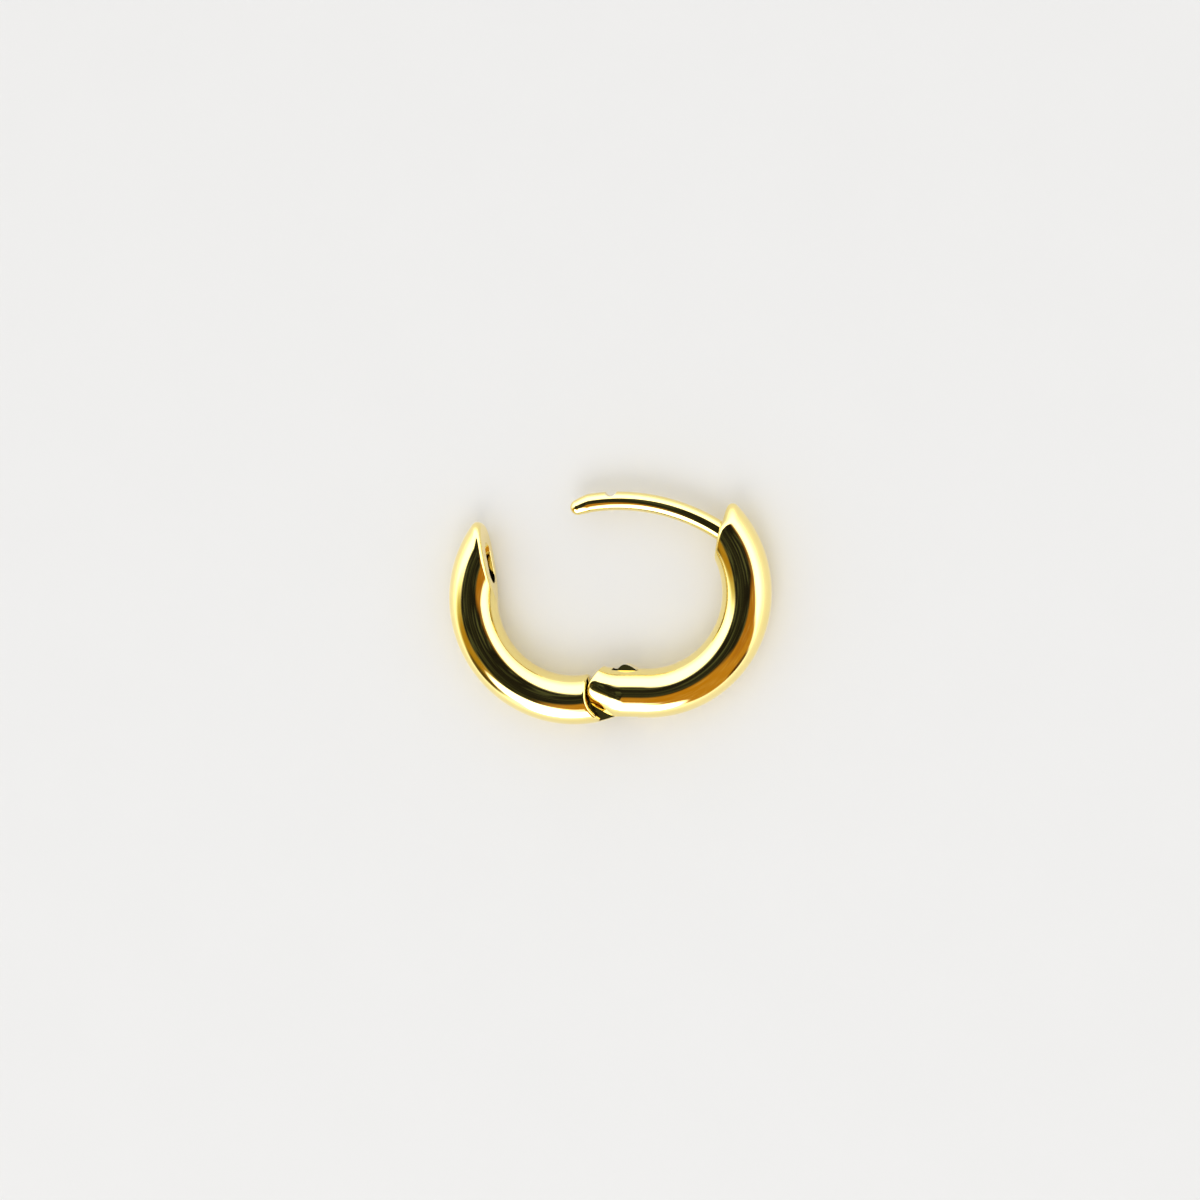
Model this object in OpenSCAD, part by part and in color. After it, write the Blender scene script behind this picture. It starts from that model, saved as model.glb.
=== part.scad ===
// Huggie earring: a hinged hoop of round tube that lies open on its side.
// Millimetres. +Z is up, X runs across the hoop, Y runs from the hinge to the earlobe gap.
// Each half is drawn in the closed hoop, with the hinge pin at zero, and is then turned to where it lies.

/* [Hoop] */
// Outer diameter of the closed hoop
hoop_d = 12.75; // [12.5:0.05:13]
// Thickness of the round tube
tube_d = 2.5; // [2.4:0.05:2.6]
// Length of the straight end of the post half, from its round part to the pin
ear_len = 1.4; // [1.3:0.05:1.5]
// Angle by which the hoop stands open as it lies
open_angle = 42.5; // [40:0.5:45]

/* [Earlobe gap] */
// Distance from the hoop's middle to the end face of the post half
post_face_off = 3.04; // [2.9:0.02:3.2]
// Distance from the hoop's middle to the end face of the catch half
catch_face_off = 3.82; // [3.7:0.02:3.86]
// Angle by which the catch half's end face leans, off square to the gap
catch_face_lean = 16.3; // [14:0.1:18]
// Rounding of each pointed end, seen from above
tip_round_r = 0.42; // [0.3:0.02:0.5]

/* [Ear post] */
// Thickness of the post's wire
post_d = 0.95; // [0.9:0.01:1]
// Distance from the hinge pin to the middle of the wire
post_arc_r = 9.7; // [9.66:0.01:9.74]
// Angle about the pin where the wire starts to taper
post_end_angle = 99; // [98.5:0.5:99.5]
// Length of the taper
taper_len = 0.6; // [0.55:0.05:0.65]
// Angle by which the taper bends in, away from the wire's line
taper_bend = 11; // [8:1:13]
// Radius of the round tip
tip_r = 0.4; // [0.34:0.02:0.42]
// Angle about the pin at the middle of the notch
notch_angle = 93; // [92:0.5:94]
// Width of the notch
notch_w = 0.62; // [0.5:0.02:0.7]
// Depth of the notch
notch_depth = 0.2; // [0.1:0.02:0.24]

/* [Catch slot] */
// Room round the wire inside the slot
slot_room = 0.07; // [0.05:0.01:0.08]
// Room round the tip at the slot's far end
slot_end_room = 0.1; // [0.08:0.01:0.12]
// How far the slot's mouth reaches in past the wire, towards the hoop's middle
slot_reach = 0.72; // [0.6:0.02:0.8]

/* [Hinge] */
// Diameter of the hinge pin
pin_d = 0.7; // [0.5:0.05:0.8]
// Radius of the round nose of the ears, about the pin
nose_r = 1.42; // [1.36:0.01:1.43]
// Gap between the nose and the shoulder that it turns in
nose_gap = 0.05; // [0.04:0.01:0.08]
// Thickness of the tongue between the ears
tongue_t = 0.8; // [0.7:0.05:0.9]
// Gap above and below the tongue
tongue_gap = 0.05; // [0.04:0.01:0.08]
// How far the tongue's round end stands past the nose's radius
tongue_reach = 0.08; // [0.06:0.01:0.1]
// Gap between the tongue's round end and the floor of the fork
fork_gap = 0.07; // [0.05:0.01:0.1]
// Height of the tongue's inner flat above the pin
tongue_flat = 0.88; // [0.8:0.02:0.94]

/* [Hidden] */

$fn = 96;
tube_r = tube_d / 2;
post_r = post_d / 2;
pin_r = pin_d / 2;
outer_r = hoop_d / 2;
ring_r = outer_r - tube_r;

// Radial play of the pin, and the radii of the joint's round parts about it
ear_play = 0.01;
tongue_play = 0.04;
shoulder_r = nose_r + nose_gap;
tongue_end_r = nose_r + tongue_reach;
fork_r = tongue_end_r + fork_gap;

// The hoop's middle, seen from the pin
hoop_mid = [ear_len, ring_r];
mid_dist = norm(hoop_mid);
mid_bearing = atan2(ring_r, ear_len);

// The turn of each half as it lies, with the middle of the opening along +Y
post_turn = 90 - open_angle / 2 - mid_bearing;
catch_turn = post_turn + open_angle;

// Bearings, from the hoop's middle, of the two end faces
post_face_bearing = mid_bearing - 90;
catch_face_bearing = mid_bearing + 90 - catch_face_lean;
// Bearing, from the pin, of the flats where nose and shoulder meet in the closed hoop
meet_bearing = 180 - open_angle;

// The pin's place, which puts the middle of the whole over zero
lowest = mid_dist * cos(open_angle / 2) - outer_r;
pin_y = -(post_arc_r + post_r + lowest) / 2;

// The arcs of tube run past the end faces and past the pin, and are cut back to them
post_arc = [-90, 75];
catch_arc = [75, 290];

// The wire starts well inside the tube
post_root_angle = 52;
taper_start = post_arc_r * way(post_end_angle);
taper_bearing = post_end_angle + 90 + taper_bend;
tip_mid = taper_start + taper_len * way(taper_bearing);
tip_angle = atan2(tip_mid[1], tip_mid[0]);
// A ball a hair wider than the wire fills the bend between wire and taper
bend_ball_r = post_r + 0.01;

// The slot runs from outside the end face, narrows at the taper and ends past the tip
slot_mouth_angle = 80;
slot_step_angle = tip_angle - 0.5;
slot_lap_angle = 0.5;
slot_end_r = tip_r + slot_end_room;
slot_end_angle = tip_angle + asin(slot_end_r / norm(tip_mid));

// The round of a pointed end lies this much nearer the corner than a true fillet, and so crosses both sides
round_shift = 0.96;

// How far cutting shapes run past what they cut
wide = 8;

// The direction at a bearing
function way(bearing) = [cos(bearing), sin(bearing)];

// An arc of round tube about the hoop's middle
module hoop_arc(span) {
    translate(hoop_mid)
        rotate([0, 0, span[0]])
            rotate_extrude(angle = span[1] - span[0])
                translate([ring_r, 0])
                    circle(tube_r);
}

// A shape seen from above, made as high as the tube and more
module through_tube() {
    translate([0, 0, -tube_d])
        linear_extrude(2 * tube_d)
            children();
}

// The layer between the two ears, at a given height
module middle_layer(height) {
    translate([0, 0, -height / 2])
        linear_extrude(height)
            children();
}

// What an end face cuts away; side is 1 or -1, the way that the pointed end lies along the face
module face_cut(bearing, off, side) {
    corner = [off, side * sqrt(outer_r ^ 2 - off ^ 2)];
    half_corner = acos(off / outer_r) / 2;
    round_mid = round_shift * tip_round_r / sin(half_corner);
    foot = round_mid * cos(half_corner);
    translate(hoop_mid)
        rotate([0, 0, bearing])
            through_tube() {
                translate([off - wide, side > 0 ? 0 : -wide])
                    square(wide);
                translate(corner)
                    rotate(-side * (90 - half_corner))
                        difference() {
                            polygon([
                                [-tip_round_r, 0],
                                foot * way(-half_corner),
                                [round_mid, 0],
                                foot * way(half_corner)
                            ]);
                            translate([round_mid, 0])
                                circle(tip_round_r);
                        }
            }
}

// Seen from above: the pin's side of the joint, bounded by a round and the flat that meets
module joint_side(radius) {
    flat_end = radius * way(meet_bearing);
    along_flat = way(meet_bearing - 90);
    circle(radius);
    polygon([flat_end, flat_end + wide * along_flat, [wide, -wide], [0, -wide]]);
}

// The curved wire of the post, with its bent and tapered end, its round tip and the notch cut out
module ear_post() {
    difference() {
        union() {
            rotate([0, 0, post_root_angle])
                rotate_extrude(angle = post_end_angle - post_root_angle)
                    translate([post_arc_r, 0])
                        circle(post_r);
            translate(taper_start)
                rotate([0, 90, taper_bearing]) {
                    sphere(bend_ball_r);
                    rotate_extrude()
                        tip_profile();
                }
        }
        notch_cut();
    }
}

// Half the outline of the tapered end, with its round tip upwards
module tip_profile() {
    polygon([[0, 0], [post_r, 0], [tip_r, taper_len], [0, taper_len]]);
    intersection() {
        translate([0, taper_len])
            circle(tip_r);
        square([tip_r, taper_len + tip_r]);
    }
}

// A round groove across the outer side of the wire
module notch_cut() {
    groove_r = (notch_w ^ 2 / 4 + notch_depth ^ 2) / (2 * notch_depth);
    groove_mid = post_arc_r + post_r - notch_depth + groove_r;
    translate(groove_mid * way(notch_angle))
        cylinder(h = tube_d, r = groove_r, center = true);
}

// The bent slot in the catch half: wide at its mouth, round past the tip
module catch_slot() {
    mouth_r = post_r + slot_room;
    rotate([0, 0, slot_mouth_angle])
        rotate_extrude(angle = slot_step_angle - slot_mouth_angle) {
            translate([post_arc_r, 0])
                circle(mouth_r);
            translate([post_arc_r - slot_reach, 0])
                circle(mouth_r);
            translate([post_arc_r - slot_reach, -mouth_r])
                square([slot_reach, 2 * mouth_r]);
        }
    rotate([0, 0, slot_step_angle - slot_lap_angle])
        rotate_extrude(angle = slot_end_angle - slot_step_angle + slot_lap_angle)
            translate([norm(tip_mid), 0])
                circle(slot_end_r);
}

// The post half of the hoop, with its two ears and the soldered post
module post_half() {
    color("gold")
        translate([0, pin_y, tube_r])
            rotate([0, 0, post_turn]) {
                difference() {
                    union() {
                        hoop_arc(post_arc);
                        intersection() {
                            translate([-wide, 0, 0])
                                rotate([0, 90, 0])
                                    cylinder(h = wide + ear_len, r = tube_r);
                            through_tube()
                                joint_side(nose_r);
                        }
                    }
                    face_cut(post_face_bearing, post_face_off, 1);
                    middle_layer(tongue_t + 2 * tongue_gap) {
                        circle(fork_r);
                        translate([-wide, -wide / 2])
                            square(wide);
                    }
                    cylinder(h = 2 * tube_d, r = pin_r + ear_play, center = true);
                }
                ear_post();
            }
}

// The catch half of the hoop, with its shoulder, its tongue and the slot that takes the post
module catch_half() {
    color("gold")
        translate([0, pin_y, tube_r])
            rotate([0, 0, catch_turn])
                difference() {
                    hoop_arc(catch_arc);
                    face_cut(catch_face_bearing, catch_face_off, -1);
                    catch_slot();
                    // Above and below the tongue, all on the pin's side of the shoulder goes
                    for (up = [0, 1])
                        mirror([0, 0, up])
                            translate([0, 0, tongue_t / 2])
                                linear_extrude(tube_d)
                                    joint_side(shoulder_r);
                    // The tongue's round end and inner flat
                    middle_layer(2 * tongue_t) {
                        difference() {
                            translate([0, -wide / 2])
                                square(wide);
                            circle(tongue_end_r);
                        }
                        intersection() {
                            joint_side(shoulder_r);
                            translate([-wide, tongue_flat])
                                square([2 * wide, wide]);
                        }
                    }
                    cylinder(h = 2 * tube_d, r = pin_r + tongue_play, center = true);
                }
}

// The hinge pin, a rivet dressed flush with the tube at both ends
module hinge_pin() {
    color("gold")
        translate([0, pin_y, tube_r])
            rotate([0, 0, post_turn])
                intersection() {
                    cylinder(h = 2 * tube_d, r = pin_r, center = true);
                    rotate([0, 90, 0])
                        cylinder(h = tube_d, r = tube_r, center = true);
                }
}

post_half();
catch_half();
hinge_pin();
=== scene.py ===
"""Huggie earring of polished yellow gold: a hinged hoop that lies open on a pale table.

Each half of the hoop is modelled as in the closed hoop, with the hinge pin at zero, and is then
turned to where it lies. Lengths are in metres and bearings in degrees. The angle round the tube,
which is called side, is in radians, from the outer side of the hoop.
"""
import bpy
import bmesh
from math import acos, asin, atan2, cos, degrees, pi, radians, sin, sqrt, tan
from mathutils import Matrix, Vector


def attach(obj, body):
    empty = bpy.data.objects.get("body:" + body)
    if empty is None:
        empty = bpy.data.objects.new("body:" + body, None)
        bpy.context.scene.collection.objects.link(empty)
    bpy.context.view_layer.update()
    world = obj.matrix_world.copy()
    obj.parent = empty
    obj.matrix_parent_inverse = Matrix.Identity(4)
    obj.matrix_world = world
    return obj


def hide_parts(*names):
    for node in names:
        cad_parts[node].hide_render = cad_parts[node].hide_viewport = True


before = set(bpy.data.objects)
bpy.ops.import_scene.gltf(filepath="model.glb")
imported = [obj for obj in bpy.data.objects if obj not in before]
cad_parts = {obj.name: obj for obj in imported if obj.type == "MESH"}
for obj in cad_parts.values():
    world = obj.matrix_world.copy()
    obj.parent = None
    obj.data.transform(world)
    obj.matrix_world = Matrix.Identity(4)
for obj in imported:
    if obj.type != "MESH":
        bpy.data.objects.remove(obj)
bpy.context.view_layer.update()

MM = 0.001

# The hoop
HOOP_D = 12.75 * MM
TUBE_D = 2.5 * MM
EAR_LEN = 1.4 * MM
OPEN_ANGLE = 42.5
TUBE_R = TUBE_D / 2
OUTER_R = HOOP_D / 2
RING_R = OUTER_R - TUBE_R

# The two end faces at the earlobe gap. A rim's round is one size on the inner side and another at
# the pointed tip. On the brow, between the tip and the tube's upper side, it is larger or smaller
# by the brow round. The tip's size fades by the power of TIP_FALL, and the brow is widest where
# BROW_RATE times the angle round the tube is a quarter turn.
POST_FACE_OFF = 3.04 * MM
POST_FACE_LEAN = 2
POST_RIM_ROUND = 0.25 * MM
POST_TIP_ROUND = 0.3 * MM
POST_BROW_ROUND = 0.22 * MM
CATCH_FACE_OFF = 3.82 * MM
CATCH_FACE_LEAN = 16.3
CATCH_RIM_ROUND = 0.3 * MM
CATCH_TIP_ROUND = 0.3 * MM
CATCH_BROW_ROUND = -0.05 * MM
TIP_FALL = 5
BROW_RATE = 1.9

# The ear post
POST_R = 0.475 * MM
POST_ARC_R = 9.7 * MM
POST_ROOT_ANGLE = 56
POST_END_ANGLE = 99
TAPER_LEN = 0.6 * MM
TAPER_BEND = 11
TAPER_CURVE = 1.5
POST_TIP_R = 0.4 * MM
NOTCH_ANGLE = 92.1
NOTCH_W = 0.62 * MM
NOTCH_DEPTH = 0.26 * MM

# The slot that takes the post
SLOT_ROOM = 0.015 * MM
SLOT_END_ROOM = 0.05 * MM
SLOT_REACH = 0.72 * MM
SLOT_OUT = 0.04 * MM
SLOT_MOUTH_ANGLE = 80
SLOT_STEP_BACK = 0.5
SLOT_LAP = 0.5

# The lip of the slot's mouth, whose cutter starts a little inside the slot
SLOT_LIP = 0.06 * MM
LIP_ROOT_DEPTH = 2 * SLOT_LIP
LIP_ROOT_INSET = 0.02 * MM
LIP_START_DEPTH = 1.2 * SLOT_LIP
LIP_START_INSET = 0.006 * MM
LIP_OVERRUN = 0.5 * MM

# The hinge's pin, nose and shoulder
PIN_R = 0.35 * MM
PIN_HOLE_R = 0.36 * MM
TONGUE_HOLE_R = 0.39 * MM
ROD_HEIGHT = 1.2 * TUBE_D
NOSE_R = 1.5 * MM
NOSE_ROUND = 0.12 * MM
NOSE_OUTER_ROUND = 0.35 * MM
NOSE_ROUND_SPAN = (60, 130)
SHOULDER_R = 1.54 * MM
SHOULDER_ROUND = 0.13 * MM

# The tongue, the fork that it turns in, and the web that joins the ears at the inner side
TONGUE_END_R = 1.53 * MM
TONGUE_CORNER_R = 0.35 * MM
TONGUE_T = 0.8 * MM
TONGUE_INSET = 0.004 * MM
TONGUE_FLAT = 0.92 * MM
TONGUE_FLAT_END = -1.13 * MM
TONGUE_STEP = (-0.6 * MM, 0.55 * MM)
TONGUE_BACK = ((-2.4 * MM, 2.2 * MM), (-2.9 * MM, -2 * MM), (0, -2 * MM))
TONGUE_START = 225
TONGUE_END = 290
FORK_R = 1.57 * MM
FORK_T = 0.9 * MM
WEB_FLAT = 0.98 * MM
WEB_GAP = 0.035 * MM
WIDEST_TURN = 54.5

# How the ears rise at the inner side
EAR_FLARE = 0.25 * MM
FLARE_LIMIT = 1.3
FLARE_EASE = 0.6

# How the ears are filed down towards the nose's outer corner. The bevel's start, line and span
# are in millimetres along and across the straight ear.
FILED_FROM = Vector((0.4, 0.53, 0)) * MM
FILED_RATE = 0.27
BEVEL_FROM = 0.6
BEVEL_LINE = (-0.9, 0.1655, 0.1316)
BEVEL_SLOPE = 0.62
BEVEL_SPAN = (0.6, 1.7)
BEVEL_SOFT = 0.1 * MM
LEAST_HEIGHT = 0.2 * MM

# How finely the round forms are divided
TUBE_SIDES = 128
WIRE_SIDES = 64
ROD_SIDES = 96
PIN_END_SIDES = 256
PIN_STRIPS = 7
HALF_STEPS = 150
EAR_STEPS = 44
ROUND_STEPS = 10
TONGUE_STEPS = 70
WIRE_STEPS = 90
TAPER_STEPS = 8
BEND_STEPS = 4
TIP_STEP_ANGLE = 6
SLOT_STEPS = 40
SLOT_END_STEPS = 8
MOUTH_STEPS = 24
LIP_STEP_ANGLE = 10
ARC_POINTS = 61
CORNER_POINTS = 17

# How near two bearings, lengths, directions or points count as the same
BEARING_MATCH = 0.01
LENGTH_MATCH = 1e-5 * MM
DIRECTION_MATCH = 1e-5
MERGE_WITHIN = 0.0002 * MM

# Edges sharper than this stay crisp, and wide faces outweigh narrow ones by this much
CRISP_ANGLE = 28
WIDE_FACE_WEIGHT = 60

# The camera: what it aims at, the way back to it, the way up in its picture, and its lens in mm
CAMERA_AIM = Vector((-0.483, 0.388, 1.25)) * MM
CAMERA_BACK = Vector((0.2028, 0.0424, 0.9783)).normalized()
CAMERA_UP = Vector((0.1087, 0.9941, 0.0))
CAMERA_AWAY = 150 * MM
CAMERA_LENS = 89.02
CAMERA_SENSOR = 36.0

# The table, and the soft light over it in metres and watts
TABLE_SIZE = 3.0
# Radii of the table's painted glow that the metal mirrors: faint within the first, full past the
# second
SHADED_R = 6 * MM
OPEN_TABLE_R = 30 * MM
SOFT_BOX_PLACE = Vector((-0.08, -0.5, 0.62))
SOFT_BOX_SIZE = 0.5
SOFT_BOX_POWER = 1.3

# What the polished metal mirrors, each shape laid over those before it: bearing, angle from
# straight up, radius and softness in degrees, and colour
SURROUNDINGS = (
    ("brown edge", 20, 16, 33, 5, (0.36, 0.16, 0.035)),
    ("pale brown end", 202, 60, 26, 8, (0.74, 0.64, 0.25)),
    ("warm brown end", 205, 63, 18, 6, (0.50, 0.28, 0.018)),
    ("dark overhead", 50, 13, 29, 5, (0.014, 0.013, 0.012)),
    ("dark side", 179, 20, 25, 5, (0.016, 0.015, 0.012)),
    ("dark side's end", 188, 42, 8, 5, (0.016, 0.015, 0.012)),
    ("dark corner", 222, 36, 9, 5, (0.03, 0.03, 0.015)),
    ("warm brown side", 297, 57, 33, 4, (0.60, 0.28, 0.025)),
    ("warm brown corner", 328, 40, 16, 5, (0.50, 0.21, 0.02)),
    ("warm brown overhead", 260, 31, 15, 4, (0.58, 0.26, 0.015)),
    ("dark spot at the end", 210, 80, 10, 5, (0.12, 0.07, 0.01)),
    ("bright panel", 256, 73, 16, 4, (6.0, 6.0, 6.2)),
    ("bright panel's near part", 231, 58, 16, 4, (6.0, 6.0, 6.2)),
    ("bright panel's low part", 245, 80, 12, 4, (6.0, 6.0, 6.2)),
    ("dark brown spot", 309, 85, 8, 4, (0.12, 0.04, 0.004)),
)


def way(bearing):
    """The level direction at a bearing in degrees."""
    return Vector((cos(radians(bearing)), sin(radians(bearing)), 0))


# The hoop's middle seen from the pin, the turn of each half, and the pin's place
HOOP_MID = Vector((EAR_LEN, RING_R, 0))
MID_DIST = HOOP_MID.length
MID_BEARING = degrees(atan2(RING_R, EAR_LEN))
POST_TURN = 90 - OPEN_ANGLE / 2 - MID_BEARING
CATCH_TURN = POST_TURN + OPEN_ANGLE
POST_FACE_BEARING = MID_BEARING - 90 + POST_FACE_LEAN
CATCH_FACE_BEARING = MID_BEARING + 90 - CATCH_FACE_LEAN
MEET_BEARING = 180 - OPEN_ANGLE
PIN_Y = -(POST_ARC_R + POST_R + MID_DIST * cos(radians(OPEN_ANGLE / 2)) - OUTER_R) / 2
PIN_PLACE = Vector((0, PIN_Y, TUBE_R))
UP = Vector((0, 0, 1))


# Small tools for modelling

def deselect_all():
    """Leaves nothing selected, in object mode."""
    if bpy.context.object and bpy.context.object.mode != "OBJECT":
        bpy.ops.object.mode_set(mode="OBJECT")
    bpy.ops.object.select_all(action="DESELECT")


def named(name):
    """Names the piece that was just added."""
    piece = bpy.context.object
    piece.name = name
    piece.data.name = name
    return piece


def pick(piece):
    """Makes one piece the selected and active one."""
    deselect_all()
    piece.select_set(True)
    bpy.context.view_layer.objects.active = piece


def edit(piece, kind="VERT"):
    """Opens a piece in edit mode with nothing selected."""
    pick(piece)
    bpy.ops.object.mode_set(mode="EDIT")
    bpy.ops.mesh.select_mode(type=kind)
    bpy.ops.mesh.select_all(action="DESELECT")


def done():
    """Closes edit mode."""
    bpy.ops.object.mode_set(mode="OBJECT")


def apply_place(piece):
    """Puts a piece's place and turn into its mesh."""
    pick(piece)
    bpy.ops.object.transform_apply(location=True, rotation=True, scale=True)


def select_where(piece, test):
    """Selects the vertices that pass a test of their place, in edit mode."""
    mesh = bmesh.from_edit_mesh(piece.data)
    for v in mesh.verts:
        v.select_set(bool(test(v.co)))
    mesh.select_flush(True)
    bmesh.update_edit_mesh(piece.data)


def cut(piece, tool, how="DIFFERENCE"):
    """Cuts a piece with a tool, or joins or keeps the common part, and throws the tool away."""
    pick(piece)
    step = piece.modifiers.new("cut", "BOOLEAN")
    step.operation = how
    step.solver = "EXACT"
    step.object = tool
    bpy.ops.object.modifier_apply(modifier=step.name)
    bpy.data.objects.remove(tool, do_unlink=True)


def tidy(piece):
    """Merges doubles and turns all faces outwards."""
    edit(piece)
    bpy.ops.mesh.select_all(action="SELECT")
    bpy.ops.mesh.remove_doubles(threshold=MERGE_WITHIN)
    bpy.ops.mesh.normals_make_consistent(inside=False)
    done()


def prism(name, outline, low, high):
    """A straight block whose outline, seen from above, is a list of level points."""
    deselect_all()
    bpy.ops.mesh.primitive_circle_add(vertices=len(outline), radius=MM)
    piece = named(name)
    for v, place in zip(piece.data.vertices, outline):
        v.co = (place[0], place[1], low)
    edit(piece)
    bpy.ops.mesh.select_all(action="SELECT")
    bpy.ops.mesh.edge_face_add()
    bpy.ops.mesh.extrude_region_move(TRANSFORM_OT_translate={"value": (0, 0, high - low)})
    done()
    tidy(piece)
    return piece


def upright_rod(name, radius):
    """An upright round rod on the pin's axis, a little taller than the tube."""
    deselect_all()
    bpy.ops.mesh.primitive_cylinder_add(vertices=ROD_SIDES, radius=radius, depth=ROD_HEIGHT)
    return named(name)


def eased(value, span):
    """Nought before a span, one after it, and a smooth rise between."""
    part = min(max((value - span[0]) / (span[1] - span[0]), 0), 1)
    return part * part * (3 - 2 * part)


def arc_points(mid, radius, start, end, count):
    """Level points along an arc."""
    return [
        mid + radius * way(start + (end - start) * i / (count - 1)) for i in range(count)
    ]


def bent_tube(name, mid, ring_r, tube_r, start, end, sides, steps):
    """An open arc of round tube about an upright axis, from bearing start to end."""
    deselect_all()
    bpy.ops.mesh.primitive_circle_add(
        vertices=sides,
        radius=tube_r,
        location=mid + ring_r * way(start),
        rotation=(pi / 2, -pi / sides, radians(start)),
    )
    piece = named(name)
    apply_place(piece)
    edit(piece)
    bpy.ops.mesh.select_all(action="SELECT")
    bpy.ops.mesh.spin(steps=steps, angle=radians(start - end), center=mid, axis=(0, 0, 1))
    done()
    return piece


def bearing_of(co):
    """The bearing of a level place, from 0 to 360 degrees."""
    return degrees(atan2(co.y, co.x)) % 360


def ring_and_side(co):
    """The bearing about the hoop's middle and the angle round the tube of a point on it."""
    out = co - HOOP_MID
    out.z = 0
    bearing = degrees(atan2(out.y, out.x))
    return bearing, atan2(co.z, out.length - RING_R)


def slide_ends(piece, start, end, start_of, end_of):
    """Slides the rings of a tube along it, so that its two ends lie on the given curves."""
    past_end = 20
    for v in piece.data.vertices:
        bearing, side = ring_and_side(v.co)
        while bearing < min(start, end) - past_end:
            bearing += 360
        while bearing > max(start, end) + past_end:
            bearing -= 360
        part = (bearing - start) / (end - start)
        low, high = start_of(side), end_of(side)
        flat = way(low + (high - low) * part)
        out = RING_R + TUBE_R * cos(side)
        v.co = HOOP_MID + out * flat + UP * TUBE_R * sin(side)


def extrude_rings(piece, is_end, rings):
    """Extrudes the loop of an open end in steps. A ring maps each place on that loop to a new one."""
    edit(piece)
    select_where(piece, is_end)
    mesh = bmesh.from_edit_mesh(piece.data)
    at = {tuple(v.co): v.co.copy() for v in mesh.verts if v.select}
    for ring in rings:
        bpy.ops.mesh.extrude_region()
        mesh = bmesh.from_edit_mesh(piece.data)
        moved = {}
        for v in mesh.verts:
            if v.select:
                first = at[tuple(v.co)]
                v.co = ring(first)
                moved[tuple(v.co)] = first
        at = moved
        bmesh.update_edit_mesh(piece.data)


def close_flat():
    """Closes the selected loop with one flat face."""
    bpy.ops.mesh.edge_face_add()
    done()


def close_ends(piece, mid, bearings):
    """Closes the open ends of an arc of tube, at their bearings about its middle."""
    for bearing in bearings:
        edit(piece)
        select_where(piece, lambda co: abs(bearing_of(co - mid) - bearing) < BEARING_MATCH)
        close_flat()


def close_upright(piece):
    """Closes the selected loop with upright strips, from its upper half to its lower half."""
    mesh = bmesh.from_edit_mesh(piece.data)
    for e in mesh.edges:
        if e.select and e.verts[0].co.z * e.verts[1].co.z < 0:
            e.select = False
    bmesh.update_edit_mesh(piece.data)
    bpy.ops.mesh.bridge_edge_loops()
    done()


def turned(a, b, part):
    """The direction at a part of the way from direction a to direction b."""
    angle = a.angle(b)
    if angle < DIRECTION_MATCH:
        return a.copy()
    return (a * sin((1 - part) * angle) + b * sin(part * angle)) / sin(angle)


def round_rings(centre_of, wall_of, radius_of, out_of):
    """The rings of a rounded rim: each place turns about its round's middle, onto the wall."""
    def ring(part):
        def place(first):
            centre = centre_of(first)
            return centre + radius_of(first) * turned(out_of(first), wall_of(first), part)
        return place
    return [ring((i + 1) / ROUND_STEPS) for i in range(ROUND_STEPS)]


def out_of_tube(first):
    """The direction straight out of the hoop's tube at a point on it."""
    bearing, side = ring_and_side(first)
    return cos(side) * way(bearing) + sin(side) * UP


def seat(piece, turn):
    """Turns a piece about the hinge pin to where it lies."""
    piece.matrix_world = Matrix.Translation(PIN_PLACE) @ Matrix.Rotation(radians(turn), 4, "Z")
    apply_place(piece)


def polish(piece):
    """Smooth shading with crisp edges, and true normals where wide faces meet narrow ones."""
    pick(piece)
    bpy.ops.object.shade_smooth_by_angle(angle=radians(CRISP_ANGLE))
    step = piece.modifiers.new("polish", "WEIGHTED_NORMAL")
    step.mode = "FACE_AREA_WITH_ANGLE"
    step.weight = WIDE_FACE_WEIGHT
    step.keep_sharp = True
    bpy.ops.object.modifier_apply(modifier=step.name)


# The rounded end faces at the earlobe gap

def end_face(bearing_of_face, off, turn_way, rim, tip, brow):
    """The curve on which a tube's round rim starts, and the rings of that rim."""
    outward = -way(bearing_of_face)

    def rim_round(side):
        at_tip = ((1 + cos(side)) / 2) ** TIP_FALL
        at_brow = sin(min(BROW_RATE * abs(side), pi)) ** 2
        return rim + (tip - rim) * at_tip + brow * at_brow

    def end_of(side):
        r = rim_round(side)
        reach = RING_R + (TUBE_R - r) * cos(side)
        return bearing_of_face + turn_way * degrees(acos((off + r) / reach))

    def radius_of(first):
        return rim_round(ring_and_side(first)[1])

    def centre_of(first):
        return first - radius_of(first) * out_of_tube(first)

    return end_of, round_rings(centre_of, lambda first: outward, radius_of, out_of_tube)


# The rounded walls at the hinge

def nose_centre(y, inset):
    """Where a round's middle lies along the straight ear, to touch the nose from inside."""
    radius = NOSE_R - inset
    meet = radius * way(MEET_BEARING)
    if y <= meet.y:
        return -sqrt(max(radius ** 2 - y ** 2, 0))
    return meet.x + (y - meet.y) / tan(radians(MEET_BEARING - 90))


def nose_round(first):
    """The radius of the nose's round: slight on the inner side, wider on the outer side."""
    side = degrees(abs(atan2(first.z, first.y)))
    return NOSE_ROUND + (NOSE_OUTER_ROUND - NOSE_ROUND) * eased(side, NOSE_ROUND_SPAN)


def nose_wall(centre, inset):
    """The outward direction of the nose next to a round's middle."""
    if centre.y <= (NOSE_R - inset) * way(MEET_BEARING).y:
        return way(degrees(atan2(centre.y, centre.x)))
    return way(MEET_BEARING)


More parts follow.
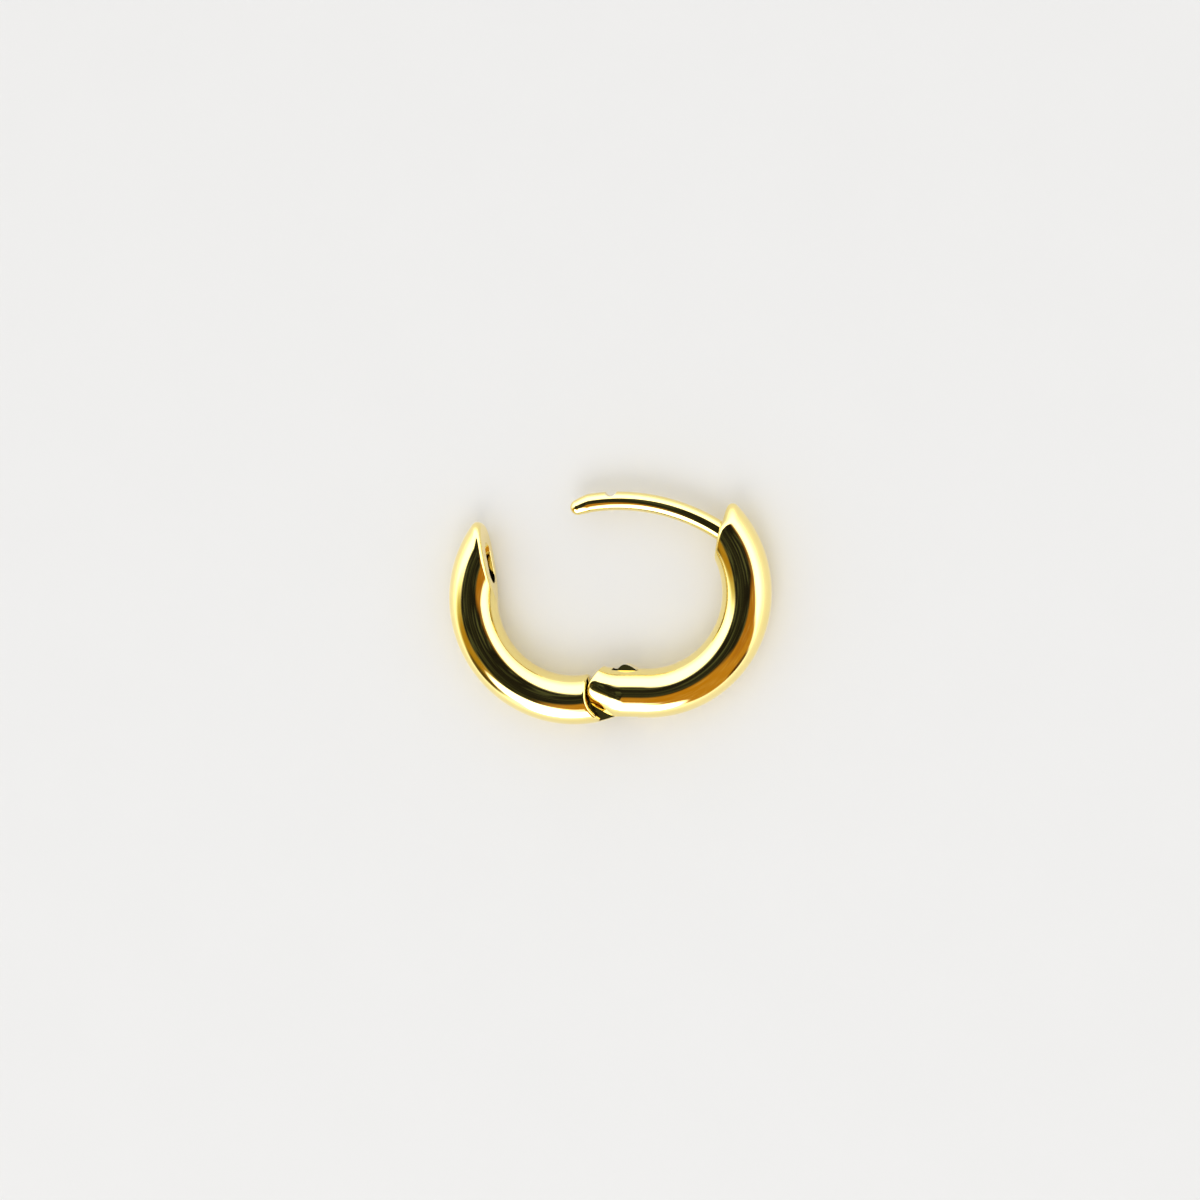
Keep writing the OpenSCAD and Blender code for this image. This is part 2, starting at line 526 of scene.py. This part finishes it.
def flare_ears(piece):
    """Lets the inner side of the ears rise towards the flat that meets the other half."""
    along_flat = way(MEET_BEARING - 90)
    corner = NOSE_R * way(MEET_BEARING)
    corner += (TUBE_R - corner.y) / along_flat.y * along_flat
    for v in piece.data.vertices:
        if v.co.x < 0 and v.co.y > 0:
            part = min(v.co.x / corner.x, FLARE_LIMIT)
            high = (v.co.y / TUBE_R) ** 2 * (1 - FLARE_EASE * (v.co.y / TUBE_R) ** 4)
            v.co += EAR_FLARE / along_flat.y * part ** 2 * high * along_flat


def filed_height(x, y, full):
    """The height of an ear above the middle plane, where the round tube has the full height."""
    floor = FORK_T / 2
    above = full - floor
    ahead = FILED_FROM - Vector((x, y, 0))
    height = full
    if ahead.x > 0 and ahead.y > 0 and above > 0:
        drop = FILED_RATE * ahead.x ** 2 * ahead.y / MM ** 2
        height = floor + above / (1 + drop / above)
    along = BEVEL_FROM - x / MM
    if along > 0:
        line = (BEVEL_LINE[0] + BEVEL_LINE[1] * along + BEVEL_LINE[2] * along ** 2) * MM
        past = max(line - y, 0)
        slope = BEVEL_SLOPE * eased(along, BEVEL_SPAN)
        height -= slope * (sqrt(past ** 2 + BEVEL_SOFT ** 2) - BEVEL_SOFT)
    return min(full, max(height, LEAST_HEIGHT))


def file_nose(piece):
    """Takes the ears down towards the nose's outer corner, as a file would."""
    for v in piece.data.vertices:
        full = sqrt(max(TUBE_R ** 2 - v.co.y ** 2, 0))
        if v.co.x < BEVEL_FROM * MM and full > LEAST_HEIGHT:
            v.co.z *= filed_height(v.co.x, v.co.y, full) / full


def shoulder_bearing(side, inset):
    """The bearing about the hoop's middle at which a tube's line meets the shoulder."""
    reach = RING_R + (TUBE_R - inset) * cos(side)
    radius = SHOULDER_R + inset
    cos_off = (reach ** 2 + MID_DIST ** 2 - radius ** 2) / (2 * reach * MID_DIST)
    bearing = MID_BEARING + 180 - degrees(acos(min(cos_off, 1)))
    if bearing_of(HOOP_MID + reach * way(bearing)) >= MEET_BEARING:
        return bearing
    depth = HOOP_MID.dot(way(MEET_BEARING))
    return MEET_BEARING + degrees(acos((radius - depth) / reach))


def shoulder_wall(centre):
    """The outward direction of the shoulder next to a round's middle."""
    return -way(max(bearing_of(centre), MEET_BEARING))


# The post half

def make_post_half():
    """The right half: round tube, straight end with two ears, and the curved ear post."""
    start, end = -90, 45
    piece = bent_tube(
        "post_half_gold", HOOP_MID, RING_R, TUBE_R, start, end, TUBE_SIDES, HALF_STEPS
    )
    end_of, rim = end_face(
        POST_FACE_BEARING, POST_FACE_OFF, 1, POST_RIM_ROUND, POST_TIP_ROUND, POST_BROW_ROUND
    )
    slide_ends(piece, start, end, lambda side: start, end_of)

    def at_gap(co):
        bearing, side = ring_and_side(co)
        return abs(bearing - end_of(side)) < BEARING_MATCH

    def at_ear(co):
        return abs(co.x - EAR_LEN) < LENGTH_MATCH and co.y < RING_R

    extrude_rings(piece, at_gap, rim)
    close_flat()
    extrude_rings(piece, at_ear, ear_rings())
    close_upright(piece)
    file_nose(piece)
    flare_ears(piece)
    tidy(piece)

    cut(piece, make_fork_cutter())
    cut(piece, upright_rod("pin_hole_cutter", PIN_HOLE_R))
    cut(piece, make_ear_post(), "UNION")
    tidy(piece)
    seat(piece, POST_TURN)
    polish(piece)
    return piece


def ear_rings():
    """The rings of the straight end, from the round part of the tube to the nose's wall."""
    def out_of(first):
        return Vector((0, first.y, first.z)).normalized()

    def centre_of(first):
        inset = nose_round(first)
        level = first - inset * out_of(first)
        level.x = nose_centre(level.y, inset)
        return level

    def wall_of(first):
        return nose_wall(centre_of(first), nose_round(first))

    def start_of_nose(first):
        return centre_of(first) + nose_round(first) * out_of(first)

    def along_ear(part):
        return lambda first: first.lerp(start_of_nose(first), part)

    rings = [along_ear((i + 1) / EAR_STEPS) for i in range(EAR_STEPS)]
    return rings + round_rings(centre_of, wall_of, nose_round, out_of)


def web_edge(y):
    """How near the web between the ears may come to the tongue's flat in the widest pose."""
    clear = TONGUE_FLAT + WEB_GAP
    return (y * cos(radians(WIDEST_TURN)) - clear) / sin(radians(WIDEST_TURN))


def make_fork_cutter():
    """What is cut out between the two ears."""
    wide = 3 * MM
    outline = [Vector((-wide, -wide, 0)), Vector((0, -wide, 0)), Vector((0, -FORK_R, 0))]
    outline += arc_points(Vector(), FORK_R, -90, 90, ARC_POINTS)[1:]
    for y in (FORK_R, WEB_FLAT):
        outline.append(Vector((web_edge(y), y, 0)))
    outline.append(Vector((-wide, WEB_FLAT, 0)))
    return prism("fork_cutter", outline, -FORK_T / 2, FORK_T / 2)


def make_ear_post():
    """The curved wire with its bent, tapered and rounded tip and the notch before it."""
    piece = bent_tube(
        "ear_post_wire",
        Vector(),
        POST_ARC_R,
        POST_R,
        POST_ROOT_ANGLE,
        POST_END_ANGLE,
        WIRE_SIDES,
        WIRE_STEPS,
    )
    extrude_rings(
        piece, lambda co: abs(bearing_of(co) - POST_END_ANGLE) < BEARING_MATCH, post_tip_rings()
    )
    close_flat()
    close_ends(piece, Vector(), (POST_ROOT_ANGLE,))
    tidy(piece)
    cut(piece, make_notch_cutter())
    return piece


def post_tip_rings():
    """The rings of the post's end: a bent taper, and then a round tip."""
    taper_start = POST_ARC_R * way(POST_END_ANGLE)
    along_wire = way(POST_END_ANGLE + 90)
    along_taper = way(POST_END_ANGLE + 90 + TAPER_BEND)

    def ring_at(distance, radius, lean):
        out = UP.cross(along_wire.lerp(along_taper, lean).normalized())
        middle = taper_start + distance * along_taper

        def place(first):
            local = first - taper_start
            across = local.dot(way(POST_END_ANGLE))
            return middle - across / POST_R * radius * out + local.z / POST_R * radius * UP
        return place

    def taper_ring(i):
        radius = POST_R + (POST_TIP_R - POST_R) * (i / TAPER_STEPS) ** TAPER_CURVE
        return ring_at(TAPER_LEN * i / TAPER_STEPS, radius, min(1, i / BEND_STEPS))

    def tip_ring(angle):
        reach = TAPER_LEN + POST_TIP_R * sin(radians(angle))
        return ring_at(reach, POST_TIP_R * cos(radians(angle)), 1)

    rings = [taper_ring(i + 1) for i in range(TAPER_STEPS)]
    return rings + [tip_ring(angle) for angle in range(TIP_STEP_ANGLE, 90, TIP_STEP_ANGLE)]


def make_notch_cutter():
    """A round groove across the outer side of the wire."""
    groove_r = (NOTCH_W ** 2 / 4 + NOTCH_DEPTH ** 2) / (2 * NOTCH_DEPTH)
    deselect_all()
    bpy.ops.mesh.primitive_cylinder_add(
        vertices=ROD_SIDES,
        radius=groove_r,
        depth=TUBE_D,
        location=(POST_ARC_R + POST_R - NOTCH_DEPTH + groove_r) * way(NOTCH_ANGLE),
    )
    piece = named("notch_cutter")
    apply_place(piece)
    return piece


# The catch half

def make_catch_half():
    """The left half: round tube with a shoulder and tongue at the hinge, and the catch slot."""
    start, end = 240, 110
    piece = bent_tube(
        "catch_half_gold", HOOP_MID, RING_R, TUBE_R, start, end, TUBE_SIDES, HALF_STEPS
    )
    end_of, rim = end_face(
        CATCH_FACE_BEARING, CATCH_FACE_OFF, -1, CATCH_RIM_ROUND, CATCH_TIP_ROUND, CATCH_BROW_ROUND
    )
    slide_ends(piece, start, end, lambda side: shoulder_bearing(side, SHOULDER_ROUND), end_of)

    def at_gap(co):
        bearing, side = ring_and_side(co)
        return abs(bearing % 360 - end_of(side)) < BEARING_MATCH

    def at_shoulder(co):
        bearing, side = ring_and_side(co)
        return abs(bearing % 360 - shoulder_bearing(side, SHOULDER_ROUND)) < BEARING_MATCH

    extrude_rings(piece, at_gap, rim)
    close_flat()
    extrude_rings(piece, at_shoulder, shoulder_rings())
    close_upright(piece)
    tidy(piece)

    cut(piece, make_tongue(), "UNION")
    cut(piece, upright_rod("tongue_hole_cutter", TONGUE_HOLE_R))
    cut(piece, make_slot_cutter())
    tidy(piece)
    seat(piece, CATCH_TURN)
    polish(piece)
    return piece


def shoulder_rings():
    """The rings of the round between the tube and the shoulder's wall."""
    def centre_of(first):
        return first - SHOULDER_ROUND * out_of_tube(first)

    def wall_of(first):
        return shoulder_wall(centre_of(first))

    return round_rings(centre_of, wall_of, lambda first: SHOULDER_ROUND, out_of_tube)


def make_tongue():
    """The flat tongue that turns between the ears: a slice of the tube with a round end."""
    tube = bent_tube(
        "tongue",
        HOOP_MID,
        RING_R,
        TUBE_R - TONGUE_INSET,
        TONGUE_START,
        TONGUE_END,
        TUBE_SIDES,
        TONGUE_STEPS,
    )
    close_ends(tube, HOOP_MID, (TONGUE_START, TONGUE_END))
    tidy(tube)
    slab = prism("tongue_slab", tongue_outline(), -TONGUE_T / 2, TONGUE_T / 2)
    cut(tube, slab, "INTERSECT")
    return tube


def tongue_outline():
    """The tongue from above: round end, rounded corner, inner flat, and back past the tube."""
    rise = TONGUE_FLAT - TONGUE_CORNER_R
    corner = Vector((sqrt((TONGUE_END_R - TONGUE_CORNER_R) ** 2 - rise ** 2), rise, 0))
    corner_start = degrees(atan2(corner.y, corner.x))
    outline = arc_points(Vector(), TONGUE_END_R, -90, corner_start, ARC_POINTS)
    outline += arc_points(corner, TONGUE_CORNER_R, corner_start, 90, CORNER_POINTS)[1:]
    outline.append(Vector((TONGUE_FLAT_END, TONGUE_FLAT, 0)))
    outline.append(Vector((TONGUE_FLAT_END + TONGUE_STEP[0], TONGUE_FLAT + TONGUE_STEP[1], 0)))
    return outline + [Vector((x, y, 0)) for x, y in TONGUE_BACK]


def make_slot_cutter():
    """The bent slot: wide at its mouth, reaching in past the wire, and round past the tip."""
    tip_mid = POST_ARC_R * way(POST_END_ANGLE) + TAPER_LEN * way(POST_END_ANGLE + 90 + TAPER_BEND)
    step_angle = bearing_of(tip_mid) - SLOT_STEP_BACK
    mouth_r = POST_R + SLOT_ROOM
    piece = make_slot_mouth(mouth_r, step_angle)
    cut(piece, make_slot_end(tip_mid, step_angle - SLOT_LAP), "UNION")
    cut(piece, make_slot_lip(mouth_r), "UNION")
    return piece


def make_slot_mouth(mouth_r, step_angle):
    """The wide part of the slot's cutter: a long round-ended outline, spun about the pin."""
    outline = []
    for reach, turn in ((POST_ARC_R + SLOT_OUT, -pi / 2), (POST_ARC_R - SLOT_REACH, pi / 2)):
        for i in range(MOUTH_STEPS + 1):
            a = turn + pi * i / MOUTH_STEPS
            outline.append((reach + mouth_r * cos(a), mouth_r * sin(a)))
    deselect_all()
    bpy.ops.mesh.primitive_circle_add(vertices=len(outline), radius=MM)
    piece = named("slot_cutter")
    start = way(SLOT_MOUTH_ANGLE)
    for v, (reach, height) in zip(piece.data.vertices, outline):
        v.co = reach * start + UP * height
    edit(piece)
    bpy.ops.mesh.select_all(action="SELECT")
    bpy.ops.mesh.spin(
        steps=SLOT_STEPS,
        angle=radians(SLOT_MOUTH_ANGLE - step_angle),
        center=(0, 0, 0),
        axis=(0, 0, 1),
    )
    done()
    close_ends(piece, Vector(), (SLOT_MOUTH_ANGLE, step_angle))
    tidy(piece)
    return piece


def make_slot_end(tip_mid, start_angle):
    """The narrow far part of the slot's cutter, which takes the post's tip."""
    end_r = POST_TIP_R + SLOT_END_ROOM
    end_angle = bearing_of(tip_mid) + degrees(asin(end_r / tip_mid.length))
    piece = bent_tube(
        "slot_end",
        Vector(),
        tip_mid.length,
        end_r,
        start_angle,
        end_angle,
        WIRE_SIDES,
        SLOT_END_STEPS,
    )
    close_ends(piece, Vector(), (start_angle, end_angle))
    tidy(piece)
    return piece


def on_catch_face(reach):
    """The point of the catch half's end face at a distance from the hinge pin, at mid height."""
    middle = HOOP_MID + CATCH_FACE_OFF * way(CATCH_FACE_BEARING)
    along = way(CATCH_FACE_BEARING + 90)
    lean = middle.dot(along)
    return middle - (lean + sqrt(lean ** 2 - middle.length_squared + reach ** 2)) * along


def make_slot_lip(mouth_r):
    """What rounds the rim of the slot's mouth: it flares from the slot's width to the face."""
    outward = -way(CATCH_FACE_BEARING)
    ends = (on_catch_face(POST_ARC_R + SLOT_OUT), on_catch_face(POST_ARC_R - SLOT_REACH))
    across = (ends[0] - ends[1]).normalized()
    rim = []
    for end, turn in zip(ends, (-pi / 2, pi / 2)):
        for i in range(MOUTH_STEPS + 1):
            a = turn + pi * i / MOUTH_STEPS
            rim.append((end, cos(a) * across + sin(a) * UP))
    deselect_all()
    bpy.ops.mesh.primitive_circle_add(vertices=len(rim), radius=MM)
    piece = named("slot_lip_cutter")
    where = {}
    for v, (end, out) in zip(piece.data.vertices, rim):
        v.co = end + (mouth_r - LIP_ROOT_INSET) * out - LIP_ROOT_DEPTH * outward
        where[tuple(v.co)] = (end, out)

    def ring(depth, grown):
        def place(first):
            end, out = where[tuple(first)]
            return end + (mouth_r + grown) * out - depth * outward
        return place

    def quarter(angle):
        return ring(SLOT_LIP * (1 - sin(angle)), SLOT_LIP * (1 - cos(angle)))

    rings = [ring(LIP_START_DEPTH, -LIP_START_INSET)]
    rings += [quarter(radians(a)) for a in range(LIP_STEP_ANGLE, 91, LIP_STEP_ANGLE)]
    rings += [ring(-LIP_OVERRUN, SLOT_LIP)]
    extrude_rings(piece, lambda co: True, rings)
    close_flat()
    edit(piece)
    select_where(piece, lambda co: tuple(co) in where)
    close_flat()
    tidy(piece)
    return piece


# The hinge pin

def make_hinge_pin():
    """The rivet, dressed flush with the ears at both ends."""
    piece = upright_rod("hinge_pin_gold", PIN_R)
    deselect_all()
    bpy.ops.mesh.primitive_cylinder_add(
        vertices=PIN_END_SIDES, radius=TUBE_R, depth=TUBE_D, rotation=(0, pi / 2, 0)
    )
    tube = named("pin_end_cutter")
    apply_place(tube)
    cut(piece, tube, "INTERSECT")
    for i in range(1 - PIN_STRIPS, PIN_STRIPS):
        edit(piece)
        bpy.ops.mesh.select_all(action="SELECT")
        bpy.ops.mesh.bisect(plane_co=(i * PIN_R / PIN_STRIPS, 0, 0), plane_no=(1, 0, 0))
        done()
    file_nose(piece)
    tidy(piece)
    seat(piece, POST_TURN)
    polish(piece)
    return piece


# Small tools for materials

def node(tree, kind, label, **values):
    """Adds a labelled node and sets its plain properties."""
    n = tree.nodes.new(kind)
    n.label = label
    for key, value in values.items():
        setattr(n, key, value)
    return n


def noise(tree, label, place, scale, detail):
    """A noise pattern laid out by place."""
    n = node(tree, "ShaderNodeTexNoise", label)
    n.inputs["Scale"].default_value = scale
    n.inputs["Detail"].default_value = detail
    tree.links.new(place, n.inputs["Vector"])
    return n.outputs["Fac"]


def two_tones(tree, label, amount, low, high):
    """A colour that goes from a low tone to a high one, each given as an amount and a colour."""
    n = node(tree, "ShaderNodeValToRGB", label)
    for stop, (position, tint) in zip(n.color_ramp.elements, (low, high)):
        stop.position = position
        stop.color = (*tint, 1)
    tree.links.new(amount, n.inputs["Fac"])
    return n.outputs["Color"]


def ranged(tree, label, amount, source, target):
    """An amount mapped from one range to another."""
    n = node(tree, "ShaderNodeMapRange", label)
    n.inputs["From Min"].default_value = source[0]
    n.inputs["From Max"].default_value = source[1]
    n.inputs["To Min"].default_value = target[0]
    n.inputs["To Max"].default_value = target[1]
    tree.links.new(amount, n.inputs["Value"])
    return n.outputs["Result"]


def relief(tree, label, height, strength, depth):
    """A bump node for relief of a given depth."""
    n = node(tree, "ShaderNodeBump", label)
    n.inputs["Strength"].default_value = strength
    n.inputs["Distance"].default_value = depth
    tree.links.new(height, n.inputs["Height"])
    return n


def mixed(tree, label, amount, under, over, blend="MIX"):
    """Lays the colour over on the colour under. Each is an output or a plain colour."""
    n = node(tree, "ShaderNodeMix", label, data_type="RGBA", blend_type=blend)
    for value, socket in ((amount, n.inputs[0]), (under, n.inputs[6]), (over, n.inputs[7])):
        if isinstance(value, bpy.types.NodeSocket):
            tree.links.new(value, socket)
        else:
            socket.default_value = value
    return n.outputs[2]


# Materials

def polished_gold():
    """Mirror polished yellow gold plate, with faint polishing marks and a slight waviness."""
    mat = bpy.data.materials.new("polished_gold")
    mat.use_nodes = True
    tree = mat.node_tree
    tree.nodes.clear()
    link = tree.links.new
    out = node(tree, "ShaderNodeOutputMaterial", "Surface")
    gold = node(tree, "ShaderNodeBsdfPrincipled", "Gold plate")
    gold.inputs["Metallic"].default_value = 1.0
    gold.inputs["IOR"].default_value = 1.5
    link(gold.outputs["BSDF"], out.inputs["Surface"])
    place = node(tree, "ShaderNodeTexCoord", "On the piece").outputs["Object"]

    tone = noise(tree, "Slow change of tone", place, 260.0, 3.0)
    deep_gold = (0.35, (0.79, 0.645, 0.235))
    light_gold = (0.68, (0.83, 0.685, 0.27))
    shades = two_tones(tree, "Two shades of gold", tone, deep_gold, light_gold)
    link(shades, gold.inputs["Base Color"])

    haze = noise(tree, "Polishing haze", place, 900.0, 5.0)
    spread = ranged(tree, "From mirror to faint haze", haze, (0.3, 0.75), (0.045, 0.085))
    link(spread, gold.inputs["Roughness"])

    wave = noise(tree, "Waviness left by polishing", place, 420.0, 2.0)
    marks = noise(tree, "Fine polishing marks", place, 9000.0, 2.0)
    wavy = relief(tree, "Wavy", wave, 0.35, 0.012 * MM)
    fine = relief(tree, "Fine", marks, 0.2, 0.0006 * MM)
    link(wavy.outputs["Normal"], fine.inputs["Normal"])
    link(fine.outputs["Normal"], gold.inputs["Normal"])
    return mat


def table_white():
    """The matt pale table, with painted light: a glow that only mirrored rays see, brighter away from
    the earring.
    """
    mat = bpy.data.materials.new("table_white")
    mat.use_nodes = True
    tree = mat.node_tree
    link = tree.links.new
    matt = tree.nodes["Principled BSDF"]
    matt.inputs["Roughness"].default_value = 0.9
    matt.inputs["Specular IOR Level"].default_value = 0.15
    place = node(tree, "ShaderNodeTexCoord", "On the table").outputs["Object"]
    grain = noise(tree, "Paper grain", place, 180.0, 4.0)
    dull_white = (0.0, (0.80, 0.795, 0.785))
    light_white = (1.0, (0.815, 0.81, 0.80))
    white = two_tones(tree, "Nearly one white", grain, dull_white, light_white)
    link(white, matt.inputs["Base Color"])

    # Painted light: the table glows for mirrored rays only, faint near the earring and stronger on
    # the open table
    away = node(tree, "ShaderNodeVectorMath", "Distance from the earring", operation="LENGTH")
    link(place, away.inputs[0])
    painted_glow = ranged(
        tree,
        "The open table is brighter than the shaded part",
        away.outputs["Value"],
        (SHADED_R, OPEN_TABLE_R),
        (0.12, 0.65),
    )
    rays = node(tree, "ShaderNodeLightPath", "Kind of ray")
    seen = node(tree, "ShaderNodeMath", "Only as mirrored in the metal", operation="MULTIPLY")
    link(rays.outputs["Is Glossy Ray"], seen.inputs[0])
    link(painted_glow, seen.inputs[1])
    matt.inputs["Emission Color"].default_value = (1.0, 1.0, 1.1, 1)
    link(seen.outputs["Value"], matt.inputs["Emission Strength"])
    return mat


# Table, light and camera

def make_table(mat):
    """The pale table top under the earring."""
    deselect_all()
    bpy.ops.mesh.primitive_plane_add(size=TABLE_SIZE, location=(0, 0, 0))
    top = named("table_top")
    edit(top, "FACE")
    bpy.ops.mesh.select_all(action="SELECT")
    bpy.ops.mesh.subdivide(number_cuts=3)
    done()
    top.data.materials.clear()
    top.data.materials.append(mat)


def shape_around(tree, unit, colour, label, bearing, lean, radius, soft, tint):
    """Lays one round shape with a soft edge over the colour of the surroundings."""
    dot = node(tree, "ShaderNodeVectorMath", label, operation="DOT_PRODUCT")
    dot.inputs[1].default_value = sin(radians(lean)) * way(bearing) + cos(radians(lean)) * UP
    tree.links.new(unit, dot.inputs[0])
    edge = node(tree, "ShaderNodeMapRange", label, interpolation_type="SMOOTHSTEP")
    edge.inputs["From Min"].default_value = cos(radians(radius + soft))
    edge.inputs["From Max"].default_value = cos(radians(radius - soft))
    tree.links.new(dot.outputs["Value"], edge.inputs["Value"])
    return mixed(tree, label, edge.outputs["Result"], colour, (*tint, 1))


def light_surroundings():
    """A plain pale light all round; mirrored rays also find the darker shapes of the room."""
    world = bpy.data.worlds.new("studio")
    bpy.context.scene.world = world
    world.use_nodes = True
    tree = world.node_tree
    tree.nodes.clear()
    link = tree.links.new
    out = node(tree, "ShaderNodeOutputWorld", "World")
    back = node(tree, "ShaderNodeBackground", "Light")
    link(back.outputs["Background"], out.inputs["Surface"])
    place = node(tree, "ShaderNodeTexCoord", "Direction")
    normal = node(tree, "ShaderNodeVectorMath", "Unit length", operation="NORMALIZE")
    link(place.outputs["Generated"], normal.inputs[0])
    unit = normal.outputs["Vector"]

    height = node(tree, "ShaderNodeSeparateXYZ", "Height")
    link(unit, height.inputs["Vector"])
    horizon = (0.0, (1.6, 1.6, 1.6))
    overhead = (0.35, (3.1, 3.1, 3.1))
    sky = "Bright above, softer at the horizon"
    colour = two_tones(tree, sky, height.outputs["Z"], horizon, overhead)
    for shape in SURROUNDINGS:
        colour = shape_around(tree, unit, colour, *shape)

    dapple = noise(tree, "Dappled light in the dark parts", unit, 9.0, 3.0)
    plain = (0.5, (0.0, 0.0, 0.0))
    olive = (0.72, (0.09, 0.11, 0.07))
    lift = two_tones(tree, "Olive dapples", dapple, plain, olive)
    colour = mixed(tree, "Dappled", 1.0, colour, lift, "ADD")
    rays = node(tree, "ShaderNodeLightPath", "Kind of ray")
    plain_light = (0.93, 0.93, 0.93, 1)
    light = mixed(tree, "Mirrored or plain", rays.outputs["Is Glossy Ray"], plain_light, colour)
    link(light, back.inputs["Color"])


def light_soft_box():
    """A large soft light on the hinge's side, for the faint shadow beyond the post."""
    light = bpy.data.lights.new("soft_box", "AREA")
    light.shape = "DISK"
    light.size = SOFT_BOX_SIZE
    light.energy = SOFT_BOX_POWER
    lamp = bpy.data.objects.new("soft_box", light)
    bpy.context.scene.collection.objects.link(lamp)
    lamp.location = SOFT_BOX_PLACE
    lamp.rotation_euler = (-lamp.location).to_track_quat("-Z", "Y").to_euler()
    lamp.visible_glossy = False
    lamp.visible_camera = False


def make_camera():
    """The camera at the photograph's viewing angle, nearly straight above."""
    data = bpy.data.cameras.new("camera")
    data.lens = CAMERA_LENS
    data.sensor_width = CAMERA_SENSOR
    data.clip_start = 0.01
    data.clip_end = 10.0
    cam = bpy.data.objects.new("camera", data)
    bpy.context.scene.collection.objects.link(cam)
    right = CAMERA_UP.cross(CAMERA_BACK).normalized()
    true_up = CAMERA_BACK.cross(right)
    turn = Matrix((right, true_up, CAMERA_BACK)).transposed()
    cam.matrix_world = Matrix.Translation(CAMERA_AIM + CAMERA_AWAY * CAMERA_BACK) @ turn.to_4x4()
    bpy.context.scene.camera = cam


def dress():
    """Makes and finishes every piece."""
    gold = polished_gold()
    pieces = (
        (make_post_half(), "post_side", "post_half"),
        (make_catch_half(), "catch_side", "catch_half"),
        (make_hinge_pin(), "post_side", "hinge_pin"),
    )
    for piece, body, cad_node in pieces:
        piece.data.materials.clear()
        piece.data.materials.append(gold)
        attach(piece, body)
        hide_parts(cad_node)


make_camera()
dress()
make_table(table_white())
light_surroundings()
light_soft_box()
bpy.context.scene.view_settings.view_transform = "Standard"

bpy.context.view_layer.update()
